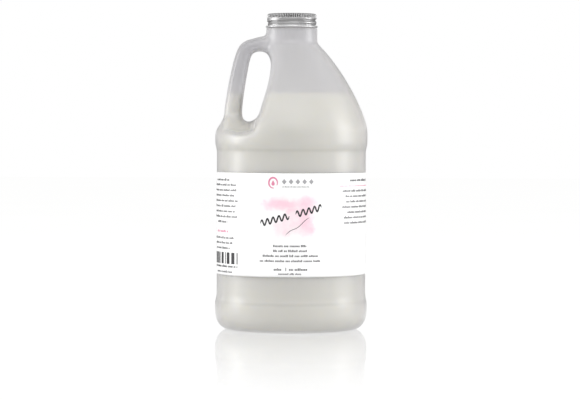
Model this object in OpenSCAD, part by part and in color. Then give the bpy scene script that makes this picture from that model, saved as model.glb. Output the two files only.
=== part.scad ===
// Half-gallon handled jug for a liquid grooming product: a blow-moulded bottle with
// a hollow handle moulded in, a wraparound label, the liquid in it, and a metal
// screw cap with a two-ply liner. The axis of the round body is Z, the base stands
// on Z = 0, and the handle is on the -X side.

/* [Body] */
// Outside diameter of the round body
body_d = 121; // [118:0.5:124]
// Wall thickness of the moulding
wall = 1; // [0.8:0.1:1.2]
// Depth of the label panel below the body's surface
panel_recess = 1.3; // [0.8:0.1:1.6]
// Height of the lower edge of the label panel
panel_low = 26.5; // [24:0.5:30]
// Height of the upper edge of the label panel
panel_high = 142.5; // [140:0.5:145]
// Height at which the shoulder starts to turn in
shoulder_z = 156; // [154:0.5:158]
// Height of the dome in the base above the floor
push_up = 6; // [4:0.5:8]

/* [Neck] */
// Outside diameter of the plain neck below the cap
neck_d = 40.6; // [40:0.1:41.4]
// Height of the top of the plain neck, where the thread finish begins
neck_top = 239.3; // [239:0.1:240.5]
// Diameter over the crest of the neck thread
thread_d = 37.3; // [37:0.1:37.4]
// Diameter of the finish at the root of the thread
root_d = 34.9; // [34.6:0.1:35.1]
// Diameter of the mouth
mouth_d = 31.8; // [31:0.1:32]
// Height of the thread finish above the plain neck
finish_h = 10.1; // [10:0.05:10.3]
// Rise of the thread in one turn
pitch = 4.233; // [4.2:0.001:4.3]

/* [Handle] */
// Width of the grip across the jug
grip_w = 24; // [20:0.5:26]

/* [Label] */
// Height of the label
label_h = 80.5; // [70:0.5:95]
// Height of the label's lower edge
label_z = 44.5; // [40:0.5:46]
// Thickness of the label
label_t = 0.15; // [0.1:0.05:0.25]
// Gap between the label's two ends, at the back of the jug
label_gap = 6; // [2:0.5:12]

/* [Contents] */
// Height of the liquid's surface
fill_z = 187.8; // [175:0.1:200]

/* [Cap] */
// Outside diameter of the cap's skirt
cap_d = 39.2; // [39.1:0.1:39.6]
// Outside diameter of the rolled lower edge
curl_d = 41.4; // [41:0.1:41.8]
// Thickness of the metal
cap_t = 0.4; // [0.35:0.05:0.45]
// Number of teeth in the knurled band
knurls = 84; // [60:6:96]
// Thickness of the pulp board in the liner
board_t = 0.8; // [0.7:0.05:0.9]
// Thickness of the coated facing of the liner
facing_t = 0.1; // [0.08:0.01:0.15]
// Diameter of the liner
liner_d = 35.8; // [35.4:0.1:36]

/* [Hidden] */
$fn = 96;

body_r = body_d / 2;
neck_r = neck_d / 2;
panel_r = body_r - panel_recess;
skirt_r = cap_d / 2;
// Height of one sloping edge of the label panel
panel_step = 4.5;
// Inner and outer radius of the flat ring that the jug stands on
ring_in_r = body_r - 15.5;
ring_out_r = body_r - 10;
// Height at which the rounded foot of the body becomes upright
foot_h = 16;
// Handle of the curve at each end of the foot: [out, up] at its low end, down at its high end
foot_low_pull = [5.5, 1];
foot_high_pull = 10;
// Handles of the curve of the domed base
dome_flat = 0.6;
dome_pull = [5, 0.7];
// Height at which the neck meets the shoulder, and the size of the fillet there
neck_foot_z = shoulder_z + 71.8;
neck_fillet = [0.7, 1.2];
// Handles of the shoulder's curve: up from its low end, [out, down] from its high end
shoulder_low_pull = 13.8;
shoulder_high_pull = [20.4, 19.5];
// The sealing lip, and the liner and the metal that lie on it
lip_z = neck_top + finish_h;
cap_under_z = lip_z + facing_t + board_t;
cap_top_z = cap_under_z + cap_t;
// Clearance between the liquid's solid and the wall, all round
liquid_gap = 0.3;
// Clearance between the label's solid and the panel, where its glue is
glue_gap = 0.05;

// Both threads follow one helix, given by its height where it crosses +X
cap_helix_z = neck_top + 6.1;
// The neck's thread lies this far above the cap's, flank to flank with clearance
thread_lift = 1.45;
// Degrees of the helix that each thread covers
neck_turn = [-340, 60];
cap_turn = [-280, 175];
// Degrees over which a thread fades in at each end, and how far into that it starts
fade = 30;
fade_start = 4;
helix_step = 10;
// How far a ridge's root is sunk in the surface that it rises from
neck_root_sunk = 0.4;
roll_root_sunk = 0.2;
// Half widths of the neck's thread at its root and at its crest
neck_ridge = [1.3, 0.55];
// Depth and half widths of the roll in the cap's skin, seen from inside and from outside
roll_in_depth = 1.2;
roll_in = [0.95, 0.35];
roll_out_depth = 1;
roll_out = [0.85, 0.2];
// Rolled lower edge of the cap
curl_r = 0.74;
curl_gap = 0.4;
curl_z = neck_top + curl_gap + curl_r;
// Knurled band of the cap
knurl_low = cap_top_z - 3.9;
knurl_h = 2.1;
knurl_depth = 0.35;
// Outer radius of the cap's rounded top edge
top_corner = 1.7;

// The handle's stations, from inside the neck down into the ledge:
// [distance in from the body's side, height above shoulder_z, half thickness]
handle_stations = [
    [52.5, 70.2, 5.2],
    [40.5, 70.9, 6.0],
    [32.5, 70.1, 5.3],
    [24.6, 66.6, 5.8],
    [21.0, 58.0, 6.1],
    [18.8, 48.0, 6.4],
    [16.5, 35.5, 6.6],
    [14.7, 23.0, 6.8],
    [13.9, 13.5, 7.1],
    [13.8, 5.0, 7.6],
    [14.0, -8.0, 8.2]
];
// Rings between two stations, and sides of each ring
handle_steps = 3;
handle_sides = 16;
// Exponent that squares the grip's oval section up a little
grip_power = 0.8;
// How far the floor behind the handle falls away to front and back, and over what distance
floor_fall = 8;
fall_w = 28;
// Heights above shoulder_z between which that fall fades out
fall_fade = [7.6, 13];
// How far the space behind the handle widens per millimetre to front and back
draft = 0.03;
// Distances from the middle of the sections through that space
space_sections = [-body_d, -28, -21, -14, -7, 0, 7, 14, 21, 28, body_d];

// Points on a cubic curve from a to d, with b and c as its handles
function curve(a, b, c, d, n) = [
    for (i = [0:n]) let (t = i / n, s = 1 - t)
        s * s * s * a + 3 * s * s * t * b + 3 * s * t * t * c + t * t * t * d
];

// Point at t between q[1] and q[2] on the smooth curve through q's four points
function through(q, t) = 0.5 * (
    2 * q[1] + t * (q[2] - q[0])
    + t * t * (2 * q[0] - 5 * q[1] + 4 * q[2] - q[3])
    + t * t * t * (3 * q[1] - q[0] - 3 * q[2] + q[3])
);

// An open outline moved by d to its left as it is walked
function shifted(p, d) = [
    for (i = [0:len(p) - 1])
        let (step = p[min(i + 1, len(p) - 1)] - p[max(i - 1, 0)])
        p[i] + d * [-step[1], step[0]] / norm(step)
];

function signed_power(v, e) = sign(v) * pow(abs(v), e);

// Outline of the body from the edge of the flat ring up to the top of the neck
function body_outline() = concat(
    curve(
        [ring_out_r, 0], [ring_out_r, 0] + foot_low_pull,
        [body_r, foot_h - foot_high_pull], [body_r, foot_h], 8
    ),
    [[body_r, panel_low - panel_step], [panel_r, panel_low]],
    [[panel_r, panel_high], [body_r, panel_high + panel_step]],
    let (high = [neck_r + neck_fillet[0], neck_foot_z - neck_fillet[1]])
        curve(
            [body_r, shoulder_z], [body_r, shoulder_z + shoulder_low_pull],
            high + [shoulder_high_pull[0], -shoulder_high_pull[1]], high, 18
        ),
    [[neck_r, neck_foot_z], [neck_r, neck_top]]
);

// Outline of the domed base from the axis out to the flat ring
function base_outline() = curve(
    [0, push_up], [ring_in_r * dome_flat, push_up],
    [ring_in_r - dome_pull[0], push_up * dome_pull[1]], [ring_in_r, 0], 8
);

// Solid of revolution inside the jug's surface by the given depth
module body_solid(depth) {
    outline = shifted(concat(base_outline(), body_outline()), depth);
    body = [for (i = [0:len(outline) - 2]) [i == 0 ? 0 : outline[i][0], outline[i][1]]];
    top = neck_top - depth;
    rotate_extrude() polygon(concat(body, [[neck_r - depth, top], [0, top]]));
}

// Side view of the space between the handle and the body, walked up from the ledge
function grip_space_edge() = concat(
    [[-3, 0.5], [6, 9.5]],
    curve([19, 7.6], [27, 7.6], [32.5, 9.5], [35, 16], 6),
    curve([35, 16], [37, 24], [43.9, 41], [44, 55], 7),
    curve([44, 55], [44, 61.5], [41, 65.3], [35.5, 65.8], 6),
    [[30, 72]]
);

function smooth_step(t) = let (s = min(1, max(0, t))) s * s * (3 - 2 * s);

// One section of that space, at distance y from the middle, grown by the given depth
function grip_space_section(y, depth) =
    let (
        grown = shifted(grip_space_edge(), -depth),
        outline = concat([[-10, grown[0][1]]], grown, [[-10, 72]]),
        fall = floor_fall * smooth_step(abs(y) / fall_w)
    )
    [
        for (p = outline)
            let (share = smooth_step((fall_fade[1] - p[1]) / (fall_fade[1] - fall_fade[0])))
            [-body_r + p[0] + draft * abs(y), y, shoulder_z + p[1] - fall * share]
    ];

// One closed skin through a list of equal rings of points
module skin(rings) {
    n = len(rings[0]);
    last = len(rings) - 1;
    sides = [
        for (i = [0:last - 1], j = [0:n - 1])
            let (k = (j + 1) % n)
            each [
                [i * n + j, i * n + k, (i + 1) * n + k],
                [i * n + j, (i + 1) * n + k, (i + 1) * n + j]
            ]
    ];
    ends = [[for (j = [n - 1:-1:0]) j], [for (j = [0:n - 1]) last * n + j]];
    polyhedron(points = [for (r = rings) each r], faces = concat(ends, sides), convexity = 6);
}

// The space behind the handle, cut right across the jug
module grip_space(depth) {
    skin([for (y = space_sections) grip_space_section(y, depth)]);
}

// The handle, inside its surface by the given depth
module handle_solid(depth) {
    s = handle_stations;
    top = len(s) - 1;
    path = concat(
        [
            for (i = [0:top - 1], k = [0:handle_steps - 1])
                through([s[max(i - 1, 0)], s[i], s[i + 1], s[min(i + 2, top)]], k / handle_steps)
        ],
        [s[top]]
    );
    skin([
        for (i = [0:len(path) - 1])
            let (
                step = path[min(i + 1, len(path) - 1)] - path[max(i - 1, 0)],
                along = [step[0], step[1]] / norm([step[0], step[1]]),
                out = [-along[1], along[0]]
            )
            [
                for (j = [0:handle_sides - 1])
                    let (
                        a = 360 * j / handle_sides,
                        u = (path[i][2] - depth) * signed_power(cos(a), grip_power),
                        v = (grip_w / 2 - depth) * signed_power(sin(a), grip_power)
                    )
                    [
                        -body_r + path[i][0] + u * out[0],
                        v,
                        shoulder_z + path[i][1] + u * out[1]
                    ]
            ]
    ]);
}

// Ring-shaped ridge along the helix: section gives [radius, height] of four corners
module helix_ridge(z0, turn, section, rest_r) {
    skin([
        for (a = [turn[0]:helix_step:turn[1] + 0.01])
            let (k = min(1, (a - turn[0] + fade_start) / fade, (turn[1] - a + fade_start) / fade))
            [
                for (p = section)
                    let (r = rest_r + (p[0] - rest_r) * k)
                    [r * cos(a), r * sin(a), z0 + pitch * a / 360 + p[1] * k]
            ]
    ]);
}

// Moulding without its neck finish, solid or hollowed by depth
module moulded_body(depth) {
    difference() {
        body_solid(depth);
        grip_space(depth);
    }
    handle_solid(depth);
}

// Blow-moulded bottle with its handle and threaded neck finish
module jug() {
    root_r = root_d / 2;
    crest_r = thread_d / 2;
    sunk_r = root_r - neck_root_sunk;
    color([0.86, 0.86, 0.86, 0.7])
    difference() {
        union() {
            moulded_body(0);
            translate([0, 0, neck_top - 1]) cylinder(r = root_r, h = finish_h + 1);
            helix_ridge(
                cap_helix_z + thread_lift, neck_turn,
                [
                    [sunk_r, -neck_ridge[0]], [crest_r, -neck_ridge[1]],
                    [crest_r, neck_ridge[1]], [sunk_r, neck_ridge[0]]
                ],
                sunk_r
            );
        }
        moulded_body(wall);
        translate([0, 0, neck_foot_z]) cylinder(d = mouth_d, h = neck_top + finish_h);
    }
}

// The liquid, as far up as it fills the body and the hollow handle
module liquid_contents() {
    color([0.93, 0.92, 0.88])
    intersection() {
        moulded_body(wall + liquid_gap);
        cylinder(r = body_d, h = fill_z);
    }
}

// Wraparound label on the recessed panel, open at the back
module label() {
    r = panel_r + glue_gap;
    half_gap = asin(label_gap / 2 / r);
    color([0.97, 0.97, 0.97])
    translate([0, 0, label_z])
        rotate([0, 0, 90 + half_gap])
            rotate_extrude(angle = 360 - 2 * half_gap)
                translate([r, 0]) square([label_t, label_h]);
}

// Outline of the band of small teeth below the cap's top edge
module knurl_outline() {
    polygon([
        for (i = [0:2 * knurls - 1])
            let (a = 180 * i / knurls, r = skirt_r + (i % 2 == 0 ? knurl_depth / 2 : -knurl_depth / 2))
            r * [cos(a), sin(a)]
    ]);
}

// The thread rolled into the cap's skirt, on one of its two faces: half is [at root, at crest]
module cap_roll(face_r, depth, half) {
    sunk_r = face_r + roll_root_sunk;
    crest_r = face_r - depth;
    helix_ridge(
        cap_helix_z, cap_turn,
        [[sunk_r, -half[0]], [sunk_r, half[0]], [crest_r, half[1]], [crest_r, -half[1]]],
        sunk_r
    );
}

// Half outline of the cap from the given height up, inside its surface by the given depth
function cap_outline(low, depth) = concat(
    [[0, low], [skirt_r - depth, low]],
    [
        for (a = [0:15:90])
            [skirt_r, cap_top_z] + [-top_corner, -top_corner] + (top_corner - depth) * [cos(a), sin(a)]
    ],
    [[0, cap_top_z - depth]]
);

// Drawn metal cap with its knurl, rolled thread and curled lower edge
module cap_shell() {
    color([0.75, 0.75, 0.77])
    difference() {
        union() {
            difference() {
                union() {
                    rotate_extrude() polygon(cap_outline(curl_z, 0));
                    translate([0, 0, knurl_low]) linear_extrude(height = knurl_h) knurl_outline();
                    rotate_extrude() translate([curl_d / 2 - curl_r, curl_z]) circle(r = curl_r);
                }
                rotate_extrude() polygon(cap_outline(curl_z - 2 * curl_r, cap_t));
            }
            cap_roll(skirt_r - cap_t, roll_in_depth, roll_in);
        }
        cap_roll(skirt_r, roll_out_depth, roll_out);
    }
}

// Pulp board in the top of the cap
module liner_board() {
    color([0.82, 0.78, 0.68])
    translate([0, 0, lip_z + facing_t]) cylinder(d = liner_d, h = board_t);
}

// Coated facing under the board, which seals on the lip
module liner_facing() {
    color([0.95, 0.95, 0.96])
    translate([0, 0, lip_z]) cylinder(d = liner_d, h = facing_t);
}

jug();
liquid_contents();
label();
cap_shell();
liner_board();
liner_facing();
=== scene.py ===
"""Half-gallon handled jug of grooming liquid with a metal screw cap, on a pale studio floor.

Jug, liquid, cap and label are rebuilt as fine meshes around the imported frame, in metres.
The body's axis is Z and the handle is at -X.
"""

import math
import random

import bmesh
import bpy
import numpy as np
import openvdb
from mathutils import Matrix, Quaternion, Vector


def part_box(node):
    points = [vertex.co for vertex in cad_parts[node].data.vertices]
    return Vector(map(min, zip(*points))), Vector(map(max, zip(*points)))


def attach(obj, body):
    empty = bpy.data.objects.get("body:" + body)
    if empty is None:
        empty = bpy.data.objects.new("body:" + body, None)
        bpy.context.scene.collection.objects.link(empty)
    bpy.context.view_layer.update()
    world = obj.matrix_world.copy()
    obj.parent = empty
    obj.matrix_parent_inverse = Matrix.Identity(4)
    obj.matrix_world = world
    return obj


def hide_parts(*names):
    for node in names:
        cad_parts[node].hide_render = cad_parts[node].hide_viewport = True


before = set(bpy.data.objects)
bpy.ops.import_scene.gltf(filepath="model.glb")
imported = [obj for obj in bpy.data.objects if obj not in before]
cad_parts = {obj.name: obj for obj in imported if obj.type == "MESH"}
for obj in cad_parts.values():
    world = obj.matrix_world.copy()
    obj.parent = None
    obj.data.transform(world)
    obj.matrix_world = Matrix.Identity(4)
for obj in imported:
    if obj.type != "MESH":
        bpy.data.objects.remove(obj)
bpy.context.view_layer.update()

MM = 0.001

# ---- sizes taken from the frame
jug_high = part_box("jug")[1]
label_low, label_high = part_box("label")
cap_low, cap_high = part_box("cap_shell")

BODY_R = jug_high.x
LIP_Z = jug_high.z
FILL_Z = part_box("liquid_contents")[1].z
CAP_TOP = cap_high.z
CURL_R = cap_high.x
LABEL_OUT_R = label_high.x

# ---- the jug's own sizes
WALL = 1.0 * MM
PANEL_R = LABEL_OUT_R - 0.2 * MM
PANEL_LOW = 26.5 * MM
PANEL_HIGH = 142.5 * MM
PANEL_STEP = 4.5 * MM
SHOULDER_Z = 156 * MM
NECK_R = 20.3 * MM
NECK_FOOT = 227.8 * MM
NECK_TOP = LIP_Z - 10.1 * MM
FOOT_H = 16 * MM
RING_OUT = BODY_R - 10 * MM
RING_IN = BODY_R - 15.5 * MM
PUSH_UP = 6 * MM
# Handles of the curves in the body's outline, from the end that each one belongs to
DOME_FLAT = 0.6
DOME_PULL = (5 * MM, 0.7)
FOOT_LOW_PULL = (5.5 * MM, 1 * MM)
FOOT_HIGH_PULL = 10 * MM
SHOULDER_LOW_PULL = 13.8 * MM
SHOULDER_HIGH_PULL = (20.4 * MM, 19.5 * MM)
# The little slope between the shoulder's end and the neck: out, and down
NECK_SLOPE = (0.7 * MM, 1.2 * MM)

# Fillets round the foot of the handle: in the finger gap, at the ledge, and at the neck
GAP_FILLET = 8 * MM
LEDGE_FILLET = 4 * MM
NECK_FILLET = 1.5 * MM
# Where the gap's fillet gives way to the ledge's, going out, and to the neck's, going up
LEDGE_X = -51 * MM
LEDGE_FADE = 5 * MM
BAR_Z = 213 * MM
BAR_FADE = 12 * MM
# Rounding of the edge of the space behind the handle: tight round its floor, soft higher up
EDGE_ROUND_LOW = 3.5 * MM
EDGE_ROUND_HIGH = 10 * MM
EDGE_SPREAD = (SHOULDER_Z + 2 * MM, SHOULDER_Z + 16 * MM)
# The floor of that space falls away to front and back, and the space widens a little
FLOOR_FALL = 8 * MM
FALL_W = 28 * MM
FALL_FADE = (SHOULDER_Z, SHOULDER_Z + 12.5 * MM)
DRAFT = 0.03
# The grip: half its width, how square its section is, and the side of the jug that it is on
GRIP_HALF = 12 * MM
GRIP_SQUARE = 3.2
GRIP_SIDE = -4 * MM
# Stations down the handle: distance in from the body's side, height above the shoulder's
# start, and half thickness
GRIP = np.array([
    [52.5, 70.2, 5.2], [40.5, 70.9, 6.0], [32.5, 70.1, 5.3], [24.6, 66.6, 5.8],
    [21.0, 58.0, 6.1], [18.8, 48.0, 6.4], [16.5, 35.5, 6.6], [14.7, 23.0, 6.8],
    [13.9, 13.5, 7.1], [13.8, 5.0, 7.6], [14.0, -8.0, 8.2],
]) * MM

# ---- how the fields are solved
# Spare grid cells round the body, and the height of the grid's top above the neck's
GRID_PAD = 4
GRID_SPARE = 2 * MM
# How far the body's outline goes on above the neck's top
OUTLINE_SPARE = 8 * MM
# Scale that brings the swept oval's field near to a true distance
OVAL_TRIM = 0.95
SOFTEN_PASSES = 2
# Steps that pull each vertex onto the surface, and the least squared slope they trust
PULL_STEPS = 3
LEAST_SLOPE = 0.25


def smooth_step(value, low, high):
    """0 at low and 1 at high, with a smooth run between them. Low may be the greater."""
    t = np.clip((value - low) / (high - low), 0, 1)
    return t * t * (3 - 2 * t)


def smooth_max(a, b, k):
    """The greater of a and b, rounded where they are within k of each other."""
    h = np.maximum(k - np.abs(a - b), 0) / k
    return np.maximum(a, b) + h * h * k / 4


def curve(a, b, c, d, n):
    """n + 1 points on the cubic curve from a to d, with b and c as its handles."""
    t = np.linspace(0, 1, n + 1)[:, None]
    s = 1 - t
    a, b, c, d = (np.array(p, float) for p in (a, b, c, d))
    return s**3 * a + 3 * s * s * t * b + 3 * s * t * t * c + t**3 * d


def arc(middle_r, middle_z, radius, first, last, count):
    """(radius, height) points of an arc between two angles, in degrees up from outwards."""
    return [
        (middle_r + radius * math.cos(a), middle_z + radius * math.sin(a))
        for a in np.radians(np.linspace(first, last, count))
    ]


def body_outline():
    """Closed outline of the body in (radius, height), carried on above the neck's top."""
    base = curve(
        (0, PUSH_UP), (RING_IN * DOME_FLAT, PUSH_UP),
        (RING_IN - DOME_PULL[0], PUSH_UP * DOME_PULL[1]), (RING_IN, 0), 24,
    )
    foot = curve(
        (RING_OUT, 0), (RING_OUT + FOOT_LOW_PULL[0], FOOT_LOW_PULL[1]),
        (BODY_R, FOOT_H - FOOT_HIGH_PULL), (BODY_R, FOOT_H), 24,
    )
    panel = np.array([
        (BODY_R, PANEL_LOW - PANEL_STEP), (PANEL_R, PANEL_LOW),
        (PANEL_R, PANEL_HIGH), (BODY_R, PANEL_HIGH + PANEL_STEP),
    ])
    end_r = NECK_R + NECK_SLOPE[0]
    end_z = NECK_FOOT - NECK_SLOPE[1]
    shoulder = curve(
        (BODY_R, SHOULDER_Z), (BODY_R, SHOULDER_Z + SHOULDER_LOW_PULL),
        (end_r + SHOULDER_HIGH_PULL[0], end_z - SHOULDER_HIGH_PULL[1]), (end_r, end_z), 60,
    )
    above = NECK_TOP + OUTLINE_SPARE
    neck = np.array([(NECK_R, NECK_FOOT), (NECK_R, above), (0, above)])
    return np.vstack([base, foot, panel, shoulder, neck])


def grip_space_outline():
    """Closed outline, in (x, z), of the space behind the handle in the middle of the jug.

    Its points and curves are given in mm in from the body's side and up from the shoulder's
    start: the floor, its turn up to the body, the side of the body, the turn under the bar.
    """
    outline = np.vstack([
        [[-10, 0.5], [-3, 0.5], [6, 9.5]],
        curve((19, 7.6), (27, 7.6), (32.5, 9.5), (35, 16), 14),
        curve((35, 16), (37, 24), (43.9, 41), (44, 55), 20)[1:],
        curve((44, 55), (44, 61.5), (41, 65.3), (35.5, 65.8), 14)[1:],
        [[30, 72], [-10, 72]],
    ]) * MM
    return outline + np.array([-BODY_R, SHOULDER_Z])


def outline_distance(points, u, v):
    """Signed distance from (u, v) to a closed outline, negative inside."""
    nearest = np.full(u.shape, np.inf)
    inside = np.zeros(u.shape, bool)
    for (ax, ay), (bx, by) in zip(points, np.roll(points, -1, axis=0)):
        ex, ey = bx - ax, by - ay
        t = np.clip(((u - ax) * ex + (v - ay) * ey) / (ex * ex + ey * ey), 0, 1)
        nearest = np.minimum(nearest, (u - ax - t * ex) ** 2 + (v - ay - t * ey) ** 2)
        if ey:
            crosses = (ay > v) != (by > v)
            inside ^= crosses & (u < ax + (v - ay) * ex / ey)
    return np.where(inside, -1, 1) * np.sqrt(nearest)


def grid_place(values, start, step, count):
    """For each value the cell of the grid that it is in and how far across the cell it is."""
    place = np.clip((values - start) / step, 0, count - 1.001)
    cell = place.astype(int)
    return cell, place - cell


def body_distance(r, zs, step):
    """Signed distance to the round body, solved on a (radius, height) plane and spread round."""
    radii = np.arange(0, r.max() + 2 * step, step / 2)
    plane = outline_distance(body_outline(), *np.meshgrid(radii, zs, indexing="ij"))
    cell, part = grid_place(r, 0, step / 2, len(radii))
    part = part[..., None]
    return plane[cell] * (1 - part) + plane[cell + 1] * part


def grip_space_distance(xs, ys, zs):
    """Signed distance to that space, which widens and whose floor falls away with abs(y)."""
    across, up = np.meshgrid(xs, zs, indexing="ij")
    middle = outline_distance(grip_space_outline(), across, up)
    step = zs[1] - zs[0]
    low_down = smooth_step(zs, FALL_FADE[1], FALL_FADE[0])
    field = np.empty((len(xs), len(ys), len(zs)))
    for j, y in enumerate(np.abs(ys)):
        moved_x = xs - DRAFT * y
        moved_z = zs + FLOOR_FALL * smooth_step(y, 0, FALL_W) * low_down
        i, u = grid_place(moved_x, xs[0], step, len(xs))
        k, v = grid_place(moved_z, zs[0], step, len(zs))
        rows = middle[i] * (1 - u)[:, None] + middle[i + 1] * u[:, None]
        field[:, j] = rows[:, k] * (1 - v) + rows[:, k + 1] * v
    return field


def handle_path(steps=10):
    """Points of a smooth curve through the handle's stations, as (x, z, half thickness)."""
    s = np.vstack([GRIP[0], GRIP, GRIP[-1]])
    path = []
    for i in range(1, len(s) - 2):
        for t in np.arange(steps) / steps:
            path.append(0.5 * (
                2 * s[i] + t * (s[i + 1] - s[i - 1])
                + t * t * (2 * s[i - 1] - 5 * s[i] + 4 * s[i + 1] - s[i + 2])
                + t**3 * (3 * s[i] - s[i - 1] - 3 * s[i + 1] + s[i + 2])
            ))
    return np.array(path + [GRIP[-1]]) + np.array([-BODY_R, SHOULDER_Z, 0])


def handle_distance(x, y, z):
    """Roughly the signed distance to the handle, a squared oval swept along its path."""
    path = handle_path()
    best = np.full(x.shape, np.inf)
    half = np.zeros(x.shape)
    for (ax, az, ah), (bx, bz, bh) in zip(path[:-1], path[1:]):
        ex, ez = bx - ax, bz - az
        t = np.clip(((x - ax) * ex + (z - az) * ez) / (ex * ex + ez * ez), 0, 1)
        h = ah + t * (bh - ah)
        d = np.hypot(x - ax - t * ex, z - az - t * ez) - h
        half = np.where(d < best, h, half)
        best = np.minimum(best, d)
    u = np.abs(best + half) / half
    v = np.abs(y) / GRIP_HALF
    oval = (u**GRIP_SQUARE + v**GRIP_SQUARE) ** (1 / GRIP_SQUARE) - 1
    return oval * np.minimum(half, GRIP_HALF) * OVAL_TRIM


def with_handle(field, x, y, z):
    """The field with the handle joined on, by a fillet that changes along the handle."""
    fillet = GAP_FILLET + (LEDGE_FILLET - GAP_FILLET) * smooth_step(x, LEDGE_X, LEDGE_X - LEDGE_FADE)
    fillet += (NECK_FILLET - fillet) * smooth_step(z, BAR_Z, BAR_Z + BAR_FADE)
    return -smooth_max(-field, -handle_distance(x, y, z), fillet)


def softened(field):
    """The field blurred a little, which rounds every sharp edge."""
    for _ in range(SOFTEN_PASSES):
        for axis in range(3):
            blurred = 0.25 * np.roll(field, 1, axis) + 0.5 * field + 0.25 * np.roll(field, -1, axis)
            inner = [slice(None)] * 3
            inner[axis] = slice(1, -1)
            field[tuple(inner)] = blurred[tuple(inner)]
    return field


class Moulding:
    """The jug's outer surface as a signed distance field on a grid."""

    def __init__(self, step):
        self.step = step
        pad = GRID_PAD * step
        self.low = np.array([-BODY_R - pad, -BODY_R - pad, -pad])
        high = np.array([BODY_R + pad, BODY_R + pad, NECK_TOP + GRID_SPARE])
        counts = np.ceil((high - self.low) / step).astype(int) + 1
        xs, ys, self.zs = (low + step * np.arange(count) for low, count in zip(self.low, counts))
        r = np.hypot(xs[:, None], ys[None, :])
        body = body_distance(r, self.zs, step)
        space = grip_space_distance(xs, ys, self.zs)
        spread = smooth_step(self.zs, *EDGE_SPREAD)
        field = smooth_max(body, -space, EDGE_ROUND_LOW + (EDGE_ROUND_HIGH - EDGE_ROUND_LOW) * spread)
        beside = xs < GRIP_SIDE
        field[beside] = with_handle(field[beside], *np.meshgrid(xs[beside], ys, self.zs, indexing="ij"))
        field = np.maximum(field, (r - BODY_R)[..., None])
        self.field = softened(field)

    def surface(self, level):
        """Vertices and quads of the surface at this level of the field."""
        grid = openvdb.FloatGrid()
        grid.copyFromArray((self.field / self.step).astype(np.float32))
        points, quads = grid.convertToQuads(isovalue=level / self.step)
        points = points.astype(float)
        for _ in range(PULL_STEPS):
            value, slope = self.sample(points)
            gap = (value - level) / self.step
            points -= slope * (gap / np.maximum((slope**2).sum(1), LEAST_SLOPE))[:, None]
        return points * self.step + self.low, quads

    def sample(self, points):
        """Field value and slope at points given in grid steps, from the corners of their cells."""
        base = np.clip(np.floor(points).astype(int), 0, np.array(self.field.shape) - 2)
        across = points - base
        value = np.zeros(len(points))
        slope = np.zeros(points.shape)
        for corner in np.ndindex(2, 2, 2):
            height = self.field[tuple((base + corner).T)]
            share = np.where(corner, across, 1 - across)
            value += height * share.prod(axis=1)
            for axis in range(3):
                turn = 1 if corner[axis] else -1
                slope[:, axis] += turn * height * np.delete(share, axis, axis=1).prod(axis=1)
        return value, slope / self.step


# ---- mesh helpers
def new_object(name, points, faces, smooth=True):
    """A mesh object from points and faces, linked to the scene."""
    mesh = bpy.data.meshes.new(name)
    mesh.from_pydata([tuple(p) for p in points], [], [tuple(int(i) for i in f) for f in faces])
    mesh.validate()
    mesh.polygons.foreach_set("use_smooth", [smooth] * len(mesh.polygons))
    obj = bpy.data.objects.new(name, mesh)
    bpy.context.scene.collection.objects.link(obj)
    return obj


def face_outwards(obj):
    """Turns every face of a closed mesh outwards."""
    bm = bmesh.new()
    bm.from_mesh(obj.data)
    bmesh.ops.recalc_face_normals(bm, faces=bm.faces)
    bm.to_mesh(obj.data)
    bm.free()
    return obj


def helix_ridge(angles, z, helix_z, turn, base, crest, fade):
    """Height, from 0 to 1, at each angle of a ridge along a right-handed helix.

    The ridge crosses +X at helix_z and runs between the two angles of turn. It is crest wide
    at its flat top and base wide at its foot, both as half widths, and fades at its ends.
    """
    best = np.zeros(len(angles))
    for whole in range(-2, 3):
        a = np.degrees(angles) + 360 * whole
        distance = np.abs(z - helix_z - PITCH * a / 360)
        rise = np.clip((base - distance) / (base - crest), 0, 1)
        run = smooth_step(np.minimum(a - turn[0], turn[1] - a), 0, fade)
        best = np.maximum(best, rise * run)
    return best


# ---- the jug
PITCH = 4.233 * MM
# Height at which the moulded body is cut and the threaded finish is built on
CUT_Z = NECK_TOP - 1.8 * MM
ROOT_R = 17.45 * MM
CREST_R = 18.65 * MM
MOUTH_R = 15.9 * MM
THREAD_Z = NECK_TOP + 7.55 * MM
THREAD_TURN = (-340, 60)
THREAD_BASE = 1.25 * MM
THREAD_CREST = 0.5 * MM
THREAD_FADE = 35
# Roundings of the neck's top edge, and of the lip outside and inside
NECK_EDGE = 0.7 * MM
LIP_OUT = 0.6 * MM
LIP_IN = 0.35 * MM
# The threaded stretch: its start above the neck, its end below the lip, and its rings' spacing
FINISH_START = 0.95 * MM
FINISH_END = 0.9 * MM
FINISH_STEP = 0.25 * MM
# The inside's turn from the wall to the mouth: its start above the cut, and its height
BORE_START = 0.4 * MM
BORE_RISE = 2.6 * MM
BORE_STRAIGHT = (NECK_TOP + 1.5 * MM, LIP_Z - 1 * MM)


def finish_rings():
    """(radius, height) rings from the cut neck up the outside to the lip."""
    rings = [(NECK_R, CUT_Z + 0.6 * MM)]
    rings += arc(NECK_R - NECK_EDGE, NECK_TOP - NECK_EDGE, NECK_EDGE, 0, 90, 6)
    rings += arc(ROOT_R + NECK_EDGE, NECK_TOP + NECK_EDGE, NECK_EDGE, -90, -180, 5)
    rings += [(ROOT_R, z) for z in np.arange(NECK_TOP + FINISH_START, LIP_Z - FINISH_END, FINISH_STEP)]
    rings += arc(ROOT_R - LIP_OUT, LIP_Z - LIP_OUT, LIP_OUT, 0, 90, 6)
    return rings


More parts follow.
